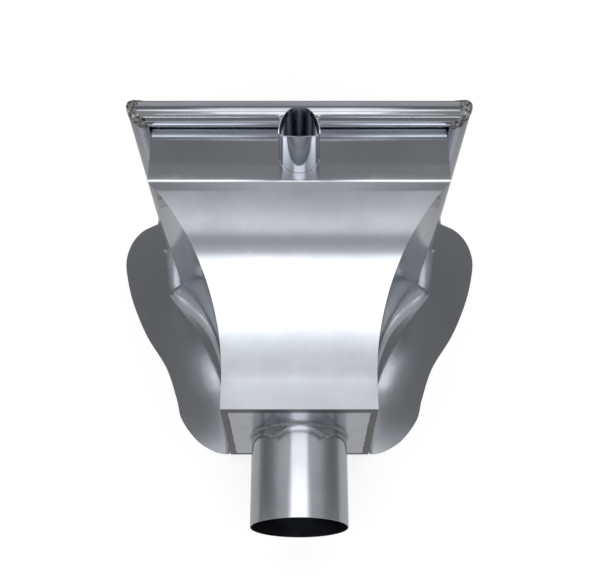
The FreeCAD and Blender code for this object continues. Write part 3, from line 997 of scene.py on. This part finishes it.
def grain_group():
    """Rolling grain of the sheet: fine streaks along one direction, and the sheet's slow waves."""
    if "rolling_grain" in bpy.data.node_groups:
        return bpy.data.node_groups["rolling_grain"]
    group, enter, leave = mask_group("rolling_grain", "Streaks", "Waves")
    stretch = node(group, "ShaderNodeMapping", (-450, 120), Scale=(0.02, 1.0, 1.0))
    streak = node(group, "ShaderNodeTexNoise", (-300, 120), Scale=900.0, Detail=2.0, Roughness=0.6)
    swell = node(group, "ShaderNodeTexNoise", (-300, -160), Scale=9.0, Detail=1.0, Roughness=0.4)
    join(
        group,
        (enter, "Place", stretch, "Vector"),
        (stretch, "Vector", streak, "Vector"),
        (enter, "Place", swell, "Vector"),
        (streak, "Fac", leave, "Streaks"),
        (swell, "Fac", leave, "Waves"),
    )
    return group


# Finish of each kind of sheet: turn of the grain, roughness, height of the slow waves in metres
SHEET_LOOKS = {
    "ALONG": ((0.0, 0.0, 0.0), 0.12, 0.00025),
    "MATT": ((0.0, 0.0, 0.0), 0.18, 0.00015),
    "PIPE": ((0.0, math.pi / 2, 0.0), 0.13, 0.00006),
    "PLATE": ((0.0, 0.0, 0.0), 0.20, 0.00015),
}

# Height of the grain's streaks in metres, and how much rougher a smudge is
GRAIN_HEIGHT = 0.000004
SMUDGE = 0.04

# Each solder: roughness from and to, height of its grit in metres, specks to the metre and how softly they
# blend, then its dark and its light specks as shares of its colour
SOLDER_LOOKS = {
    "soft_solder": (0.30, 0.55, 0.00025, 420.0, 0.50, 0.70, 1.5),
    "lumpy_solder": (0.16, 0.36, 0.0011, 330.0, 0.12, 0.15, 4.5),
    "tinned_band": (0.14, 0.30, 0.00004, 420.0, 0.50, 0.70, 1.5),
}
SOLDER_METALLIC = 0.92


def zinc_material(name, look):
    """Bright mill finish sheet with grain, waves, clouds and smudges."""
    if name in bpy.data.materials:
        return bpy.data.materials[name]
    turn, rough, wave_height = SHEET_LOOKS[look]
    finish = settings()[3]
    material, tree, shader = principled(name, Metallic=1.0)
    place = node(tree, "ShaderNodeTexCoord", (-1500, 0))
    turned = node(tree, "ShaderNodeMapping", (-1300, 0), Rotation=turn)
    grain = node(tree, "ShaderNodeGroup", (-1050, -250), node_tree=grain_group())
    clouds = node(tree, "ShaderNodeGroup", (-1050, 150), node_tree=handled_group())
    cloudy = node(tree, "ShaderNodeMapRange", (-850, 300), From_Min=0.34, From_Max=0.66)
    tint = node(
        tree, "ShaderNodeMix", (-700, 300), data_type="RGBA",
        A=(*finish.zinc, 1.0), B=(*finish.zinc_dull, 1.0),
    )
    satin = node(
        tree, "ShaderNodeMapRange", (-700, 50), From_Min=0.3, From_Max=0.75,
        To_Min=rough * 0.8, To_Max=rough * 1.35,
    )
    smear = reckon(tree, (-450, 50), "MULTIPLY_ADD", clouds.outputs["Spots"], SMUDGE, satin.outputs["Result"])
    waves = node(tree, "ShaderNodeBump", (-450, -250), Distance=wave_height, Strength=1.0)
    streaks = node(tree, "ShaderNodeBump", (-200, -250), Distance=GRAIN_HEIGHT, Strength=1.0)
    tree.links.new(smear, shader.inputs["Roughness"])
    join(
        tree,
        (place, "Object", turned, "Vector"),
        (turned, "Vector", grain, "Place"),
        (turned, "Vector", clouds, "Place"),
        (clouds, "Clouds", cloudy, "Value"),
        (cloudy, "Result", tint, "Factor"),
        (tint, "Result", shader, "Base Color"),
        (clouds, "Clouds", satin, "Value"),
        (grain, "Waves", waves, "Height"),
        (grain, "Streaks", streaks, "Height"),
        (waves, "Normal", streaks, "Normal"),
        (streaks, "Normal", shader, "Normal"),
    )
    return material


def solder_material(name, metal):
    """Soft solder in dark and light specks, rougher where it froze under the iron."""
    if name in bpy.data.materials:
        return bpy.data.materials[name]
    smooth, rough, bump_height, grit, spread, dark, light = SOLDER_LOOKS[name]
    material, tree, shader = principled(name, Metallic=SOLDER_METALLIC)
    place = node(tree, "ShaderNodeTexCoord", (-1300, 0))
    clouds = node(tree, "ShaderNodeGroup", (-1050, 150), node_tree=handled_group())
    speck = node(tree, "ShaderNodeTexNoise", (-1050, -150), Scale=grit, Detail=4.0, Roughness=0.7)
    patchy = node(tree, "ShaderNodeMapRange", (-850, 300), From_Min=0.5 - spread, From_Max=0.5 + spread)
    tint = node(
        tree, "ShaderNodeMix", (-700, 300), data_type="RGBA",
        A=(*[value * dark for value in metal], 1.0), B=(*[value * light for value in metal], 1.0),
    )
    satin = node(
        tree, "ShaderNodeMapRange", (-700, 50), From_Min=0.3, From_Max=0.8, To_Min=smooth, To_Max=rough
    )
    bump = node(tree, "ShaderNodeBump", (-300, -200), Distance=bump_height, Strength=1.0)
    join(
        tree,
        (place, "Object", clouds, "Place"),
        (place, "Object", speck, "Vector"),
        (speck, "Fac", patchy, "Value"),
        (patchy, "Result", tint, "Factor"),
        (tint, "Result", shader, "Base Color"),
        (clouds, "Clouds", satin, "Value"),
        (satin, "Result", shader, "Roughness"),
        (speck, "Fac", bump, "Height"),
        (bump, "Normal", shader, "Normal"),
    )
    return material


class HOPPER_OT_plates(bpy.types.Operator):
    """Give the flat plates their finish"""

    bl_idname = "hopper.plates"
    bl_label = "Flat plates"

    def execute(self, context):
        for name in ("back_plate", "bottom_plate"):
            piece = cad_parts[name]
            for slot in piece.material_slots:
                slot.material = zinc_material("zinc_plate", "PLATE")
        return {"FINISHED"}


# Studio


# What the metal sees of the room in the middle plane: degrees above the wall's normal, strength
SKY = [
    (-180, 0.60), (-112, 0.62), (-100, 0.64), (-92, 0.64), (-85, 0.68), (-79, 0.76), (-74, 0.84), (-69, 0.96),
    (-64, 1.06), (-59, 1.03), (-56, 0.90), (-53.5, 0.54), (-50, 0.48), (-46, 0.58), (-43, 0.70), (-20, 0.50),
    (5, 0.35), (14, 0.20), (18, 0.155), (26.5, 0.16), (29, 0.225), (35, 0.26), (39, 0.44), (66, 0.52),
    (90, 0.50), (180, 0.50),
]

# What it sees of the room towards the sides: share of the direction along X, strength
SIDES = [
    (0.0, 0.58), (0.48, 0.58), (0.61, 0.54), (0.73, 0.50), (0.83, 0.36), (0.905, 0.24), (0.95, 0.20),
    (1.0, 0.18),
]

# How much of the middle plane's strength shows: share of the direction along X, share
MIDDLE = [(0.0, 1.0), (0.34, 1.0), (0.45, 0.0), (1.0, 0.0)]

# The table as reflections see it: metres above the foot, strength, then metres to the side, share
TABLE = [(-2.5, 0.64), (-1.0, 0.62), (-0.4, 0.56), (0.0, 0.55), (0.3, 0.55), (0.8, 0.45), (2.0, 0.34)]
TABLE_WIDTH = [(0.0, 1.0), (0.20, 1.0), (0.32, 0.77), (0.50, 0.45), (2.0, 0.40)]

# The large soft box before the head: height in metres, strength, then half width, share
BOX = [
    (-0.315, 0.66), (-0.285, 1.5), (-0.262, 2.3), (0.050, 2.3), (0.070, 1.75), (0.090, 1.50), (0.110, 1.32),
    (0.130, 1.16), (0.150, 1.06), (0.185, 1.03), (0.205, 1.07), (0.230, 1.12), (0.240, 2.3), (0.268, 2.3),
    (0.282, 0.60),
]
BOX_WIDTH = [(0.0, 1.0), (0.18, 1.0), (0.235, 0.50), (0.30, 0.42)]

# The narrow card over the soft box
CARD = [(0.282, 1.15), (0.400, 1.15), (0.430, 0.25)]
CARD_WIDTH = [(0.0, 1.0), (0.11, 1.0), (0.16, 0.2)]

# The low strip close under the bead, on both sides of the spout
STRIP = [(0.178, 2.6), (0.2258, 2.6)]
STRIP_WIDTH = [(0.0215, 0.3), (0.030, 0.3), (0.075, 1.0), (0.165, 1.0)]

# The dimmer ends of the soft box, as the ends of the bead see them
ENDS = [(0.12, 1.1), (0.235, 1.1)]
ENDS_WIDTH = [(0.095, 1.0), (0.115, 0.54), (0.137, 0.43), (0.160, 0.32), (0.22, 0.32)]

# The soft boxes of those four pairs: name, metres before the wall, stops up, stops to the side
SOFT_BOXES = [
    ("soft_box", 0.70, BOX, BOX_WIDTH),
    ("upper_card", 0.70, CARD, CARD_WIDTH),
    ("strip_light", 0.292, STRIP, STRIP_WIDTH),
    ("box_end", 0.42, ENDS, ENDS_WIDTH),
]

# The table: its size and its place behind the wall plane in metres, its colour and the glow the camera sees
TABLE_SIZE = 12.0
TABLE_GAP = 0.0006
TABLE_COLOUR = (0.8, 0.8, 0.8, 1.0)
TABLE_GLOW = 0.66

# Plain cards: name, ends along X, Y and Z on the right side in metres, strength; level ones glow upward only
CARDS = [
    ("level_flag", (0.0195, 0.158), (-0.2663, -0.2738), (0.2525, 0.2525), 0.21),
    ("upright_flag", (0.0205, 0.165), (-0.2900, -0.2900), (0.2260, 0.2440), 0.30),
    ("bead_flag", (0.0200, 0.165), (-0.4000, -0.4000), (0.1300, 0.1850), 0.75),
    ("ear_flag_foot", (0.103, 0.255), (-0.2050, -0.2050), (0.074, 0.130), 0.165),
    ("ear_flag_low", (0.108, 0.255), (-0.2050, -0.2050), (0.130, 0.152), 0.165),
    ("ear_flag_high", (0.122, 0.255), (-0.2050, -0.2050), (0.152, 0.170), 0.165),
    ("ear_flag_upper", (0.130, 0.255), (-0.2050, -0.2050), (0.170, 0.182), 0.165),
    ("ear_flag_top", (0.150, 0.255), (-0.2050, -0.2050), (0.182, 0.196), 0.165),
    ("ear_flag_edge", (0.1395, 0.150), (-0.2050, -0.2050), (0.182, 0.1965), 0.380),
    ("side_lift", (0.345, 0.620), (-0.5000, -0.5000), (0.260, 0.460), 0.46),
    ("side_low", (1.010, 1.010), (-0.0200, -0.7500), (-0.450, 0.100), 0.62),
    ("cove_lamp", (1.000, 1.000), (-0.2000, -0.3750), (-0.155, -0.045), 1.50),
    ("lamp", (1.000, 1.000), (-0.2000, -0.6000), (0.360, 0.600), 2.20),
]


def strength_ramp(tree, source, stops, place):
    """Strength that follows a value through stops, as a socket."""
    low, high = stops[0][0], stops[-1][0]
    top = max(strength for _, strength in stops)
    left, height = place
    share = node(tree, "ShaderNodeMapRange", place, From_Min=low, From_Max=high)
    ramp = node(tree, "ShaderNodeValToRGB", (left + 200, height))
    elements = ramp.color_ramp.elements
    while len(elements) < len(stops):
        elements.new(0.5)
    for element, (position, _) in zip(elements, stops):
        element.position = (position - low) / (high - low)
    for element, (_, strength) in zip(elements, stops):
        grey = strength / top
        element.color = (grey, grey, grey, 1.0)
    tree.links.new(source, share.inputs["Value"])
    join(tree, (share, "Result", ramp, "Fac"))
    return reckon(tree, (left + 480, height), "MULTIPLY", ramp.outputs["Color"], top)


def glow_pattern(tree, heights, widths, glow):
    """Make an emission's strength follow the height and the distance to the side."""
    place = node(tree, "ShaderNodeTexCoord", (-900, 0))
    axes = node(tree, "ShaderNodeSeparateXYZ", (-700, 0))
    join(tree, (place, "Object", axes, "Vector"))
    up = strength_ramp(tree, axes.outputs["Z"], heights, (-500, 100))
    aside = reckon(tree, (-600, -250), "ABSOLUTE", axes.outputs["X"])
    across = strength_ramp(tree, aside, widths, (-400, -250))
    tree.links.new(reckon(tree, (250, 0), "MULTIPLY", up, across), glow.inputs["Strength"])


def one_sided(tree, shader, output, place):
    """Let a shader show from the front of its faces only."""
    left, height = place
    side = node(tree, "ShaderNodeNewGeometry", (left - 250, height + 300))
    clear = node(tree, "ShaderNodeBsdfTransparent", (left - 250, height - 300))
    blend = node(tree, "ShaderNodeMixShader", place)
    join(
        tree,
        (side, "Backfacing", blend, "Fac"),
        (shader, output, blend, 1),
        (clear, "BSDF", blend, 2),
    )
    return blend


def glow_card(name, corners, strength, level=False):
    """Glowing card that only reflections see, and the tree and emission of its material."""
    card = add(bpy.ops.mesh.primitive_plane_add, size=1.0)
    card.name = name
    one, two, three, four = corners
    for vertex, corner in zip(card.data.vertices, (one, two, four, three)):
        vertex.co = corner
    material = bpy.data.materials.new(name)
    material.use_nodes = True
    tree = material.node_tree
    tree.nodes.clear()
    glow = node(tree, "ShaderNodeEmission", (450, 0), Color=(1, 1, 1, 1), Strength=strength)
    out = node(tree, "ShaderNodeOutputMaterial", (1000, 0))
    if level:
        face_along(card, card.data.polygons[0], Vector((0, 0, 1)))
        join(tree, (one_sided(tree, glow, "Emission", (750, 0)), "Shader", out, "Surface"))
    else:
        join(tree, (glow, "Emission", out, "Surface"))
    card.data.materials.append(material)
    card.visible_camera = False
    card.visible_shadow = False
    card.visible_diffuse = False
    return tree, glow


def soft_box(name, distance, heights, widths):
    """Upright card, or a pair beside the middle, whose strength changes with the height and to the side."""
    near, wide = widths[0][0], widths[-1][0]
    low, high = heights[0][0], heights[-1][0]
    if near > 0:
        spans = [("left_" + name, -wide, -near), ("right_" + name, near, wide)]
    else:
        spans = [(name, -wide, wide)]
    for label, one, two in spans:
        plan = [(one, low), (two, low), (two, high), (one, high)]
        tree, glow = glow_card(label, [(x, -distance, z) for x, z in plan], 1.0)
        glow_pattern(tree, heights, widths, glow)


def plain_card(name, across, deep, high, strength, sign):
    """Card of one strength on one side of the head."""
    (near, far), (front, back), (low, top) = across, deep, high
    level = low == top
    plan = [(near, front), (far, front if level else back), (far, back), (near, back if level else front)]
    glow_card(name, [(sign * x, y, z) for (x, y), z in zip(plan, (low, low, top, top))], strength, level)


class HOPPER_OT_studio(bpy.types.Operator):
    """Set up the white table that the head lies on, the light and the camera"""

    bl_idname = "hopper.studio"
    bl_label = "Studio"

    def execute(self, context):
        studio = settings()[4]
        scene = context.scene
        camera = bpy.data.objects.new("camera", bpy.data.cameras.new("camera"))
        scene.collection.objects.link(camera)
        camera.data.lens = studio.lens
        camera.data.sensor_width = 36.0
        camera.location = (studio.aside, -studio.distance, -studio.drop)
        camera.rotation_euler = (math.pi / 2 + studio.pitch, 0, 0)
        scene.camera = camera
        scene.view_settings.view_transform = "Standard"
        self.world(scene)
        self.table()
        for name, distance, heights, widths in SOFT_BOXES:
            soft_box(name, distance, heights, widths)
        for sign, side in HANDS:
            for name, across, deep, high, strength in CARDS:
                plain_card(side + "_" + name, across, deep, high, strength, sign)
        return {"FINISHED"}

    def world(self, scene):
        """White for the camera; for reflections a room, brightest below the front and dim to the sides."""
        world = bpy.data.worlds.new("studio")
        scene.world = world
        world.use_nodes = True
        tree = world.node_tree
        tree.nodes.clear()
        out = node(tree, "ShaderNodeOutputWorld", (1100, 0))
        seen = node(tree, "ShaderNodeBackground", (700, 150), Strength=1.0, Color=(1, 1, 1, 1))
        lit = node(tree, "ShaderNodeBackground", (700, -50), Strength=1.0, Color=(1, 1, 1, 1))
        path = node(tree, "ShaderNodeLightPath", (500, 400))
        blend = node(tree, "ShaderNodeMixShader", (900, 0))
        place = node(tree, "ShaderNodeTexCoord", (-1100, 0))
        axes = node(tree, "ShaderNodeSeparateXYZ", (-900, 0))
        mix = node(tree, "ShaderNodeMix", (400, -250), data_type="FLOAT")
        forward = reckon(tree, (-720, -120), "MULTIPLY", axes.outputs["Y"], -1.0)
        angle = reckon(tree, (-550, 0), "ARCTAN2", axes.outputs["Z"], forward)
        aside = reckon(tree, (-550, -300), "ABSOLUTE", axes.outputs["X"])
        stops = [(math.radians(degrees), strength) for degrees, strength in SKY]
        tree.links.new(strength_ramp(tree, aside, MIDDLE, (-350, -300)), mix.inputs["Factor"])
        tree.links.new(strength_ramp(tree, aside, SIDES, (-350, -600)), mix.inputs["A"])
        tree.links.new(strength_ramp(tree, angle, stops, (-350, 0)), mix.inputs["B"])
        join(
            tree,
            (place, "Generated", axes, "Vector"),
            (mix, "Result", lit, "Strength"),
            (path, "Is Camera Ray", blend, "Fac"),
            (lit, "Background", blend, 1),
            (seen, "Background", blend, 2),
            (blend, "Shader", out, "Surface"),
        )

    def table(self):
        """White surface behind the head, clear from behind so the head shows from there too."""
        table = add(
            bpy.ops.mesh.primitive_plane_add, (0, TABLE_GAP, 0), size=TABLE_SIZE, rotation=(math.pi / 2, 0, 0)
        )
        table.name = "table"
        settle(table)
        material, tree, shader = principled(
            "white_table", Base_Color=TABLE_COLOUR, Roughness=0.9, Emission_Color=(1, 1, 1, 1),
            Emission_Strength=TABLE_GLOW,
        )
        mirrored = node(tree, "ShaderNodeEmission", (450, -300), Color=(1, 1, 1, 1))
        glow_pattern(tree, TABLE, TABLE_WIDTH, mirrored)
        path = node(tree, "ShaderNodeLightPath", (450, 500))
        asked = node(tree, "ShaderNodeMixShader", (700, 0))
        join(
            tree,
            (path, "Is Glossy Ray", asked, "Fac"),
            (shader, "BSDF", asked, 1),
            (mirrored, "Emission", asked, 2),
            (one_sided(tree, asked, "Shader", (950, 0)), "Shader", tree.nodes["Material Output"], "Surface"),
        )
        table.data.materials.append(material)


class HOPPER_PT_sidebar(bpy.types.Panel):
    """Buttons for each piece of the hopper head"""

    bl_label = "Hopper Head"
    bl_idname = "HOPPER_PT_sidebar"
    bl_space_type = "VIEW_3D"
    bl_region_type = "UI"
    bl_category = "Hopper Head"

    def draw(self, context):
        for operator in OPERATORS:
            self.layout.operator(operator.bl_idname)


OPERATORS = [
    HOPPER_OT_studio, HOPPER_OT_plates, HOPPER_OT_front_panel, HOPPER_OT_side_panels, HOPPER_OT_wings,
    HOPPER_OT_spigot, HOPPER_OT_spout, HOPPER_OT_solder,
]
GROUPS = [HopperBodySizes, HopperWingSizes, HopperPipeSizes, HopperFinish, HopperStudio]
HOLDERS = ["hopper_body", "hopper_wing", "hopper_pipe", "hopper_finish", "hopper_studio"]


def register():
    for kind in GROUPS + OPERATORS + [HOPPER_PT_sidebar]:
        bpy.utils.register_class(kind)
    for holder, group in zip(HOLDERS, GROUPS):
        setattr(bpy.types.Scene, holder, PointerProperty(type=group))


def unregister():
    for holder in HOLDERS:
        delattr(bpy.types.Scene, holder)
    for kind in reversed(GROUPS + OPERATORS + [HOPPER_PT_sidebar]):
        bpy.utils.unregister_class(kind)


def main():
    register()
    bpy.ops.hopper.studio()
    bpy.ops.hopper.plates()
    bpy.ops.hopper.front_panel()
    bpy.ops.hopper.side_panels()
    bpy.ops.hopper.wings()
    bpy.ops.hopper.spigot()
    bpy.ops.hopper.spout()
    bpy.ops.hopper.solder()


if __name__ == "__main__":
    main()
